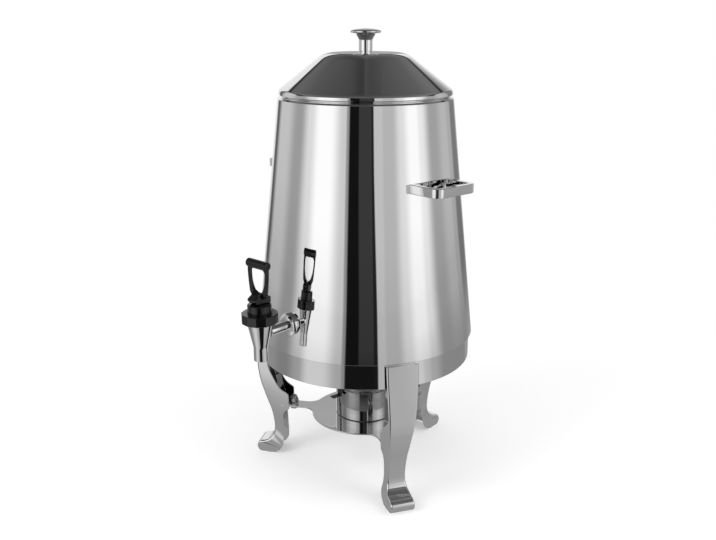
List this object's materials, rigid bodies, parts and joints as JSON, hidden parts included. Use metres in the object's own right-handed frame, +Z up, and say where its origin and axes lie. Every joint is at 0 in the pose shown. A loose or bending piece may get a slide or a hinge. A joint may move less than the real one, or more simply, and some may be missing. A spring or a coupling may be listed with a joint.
{
  "type": "coffee urn",
  "caption": "Tapered steel hot-drink urn with a lift-off domed lid, side handles and a self-closing lever tap, on a legged stand that carries a spirit burner on a plate.",
  "frame": {"origin": "on the counter under the feet, on the upright axis of the vessel", "axes": "+Z up, the tap faces -Y, the handles lie near the X axis"},
  "size_m": [0.2985, 0.3334, 0.538],
  "materials": {
    "polished_steel": "polished to a mirror",
    "pressed_steel": "bright, as pressed",
    "fastener_steel": "zinc bright, slightly dull",
    "black_plastic": "satin black",
    "silicone": "matt, translucent",
    "wick_wool": "matt fibre",
    "spring_steel": "drawn wire"
  },
  "bodies": {
    "urn": {"stand_ring": "polished_steel", "stand_ledge": "pressed_steel", "leg_front_right": "polished_steel", "leg_front_left": "polished_steel", "leg_back": "polished_steel", "leg_screws": "fastener_steel", "burner_plate": "polished_steel", "plate_bolts": "fastener_steel", "plate_washers": "fastener_steel", "plate_nuts": "fastener_steel", "urn_shell": "polished_steel", "urn_base_pan": "pressed_steel", "base_studs": "fastener_steel", "base_washers": "fastener_steel", "base_nuts": "fastener_steel", "mouth_ring": "polished_steel", "handle_right": "polished_steel", "handle_left": "polished_steel", "handle_seals": "silicone", "handle_screws": "fastener_steel", "tap_body": "polished_steel", "tap_flange": "polished_steel", "tap_inner_seal": "silicone", "tap_nut": "fastener_steel", "bonnet_gasket": "silicone", "bonnet": "black_plastic"},
    "burner": {"burner_cup": "polished_steel", "burner_wick": "wick_wool", "burner_cover": "pressed_steel", "regulator_rivet": "fastener_steel"},
    "regulator": {"burner_regulator": "pressed_steel"},
    "valve": {"tap_stem": "pressed_steel", "seat_cup": "silicone", "tap_spring": "spring_steel"},
    "lever": {"lever": "black_plastic", "lever_pin": "black_plastic"},
    "lid": {"lid_shell": "polished_steel", "lid_ring": "pressed_steel", "lid_knob": "polished_steel", "knob_washer": "fastener_steel", "knob_screw": "fastener_steel"}
  },
  "joints": [
    {"name": "lid_lift", "type": "slide", "parent": "urn", "child": "lid", "axis": [0, 0, 1], "range_m": [0, 0.12]},
    {"name": "burner_draw", "type": "slide", "parent": "urn", "child": "burner", "axis": [0, -1, 0], "range_m": [0, 0.2]},
    {"name": "regulator_turn", "type": "hinge", "parent": "burner", "child": "regulator", "pos_m": [0, 0, 0.1066], "axis": [0, 0, 1], "range_deg": [0, 60]},
    {"name": "stem_lift", "type": "slide", "parent": "urn", "child": "valve", "axis": [0, 0, 1], "range_m": [0, 0.00305], "deforming": ["tap_spring"]},
    {"name": "lever_tilt", "type": "hinge", "parent": "valve", "child": "lever", "pos_m": [0, -0.17146, 0.2588], "axis": [1, 0, 0], "range_deg": [0, 35], "stiffness_Nm_per_rad": 0.12, "springref_deg": -20.05}
  ],
  "couplings": [
    {"joint": "lever_tilt", "follows": "stem_lift", "rad_per_m": 200}
  ]
}
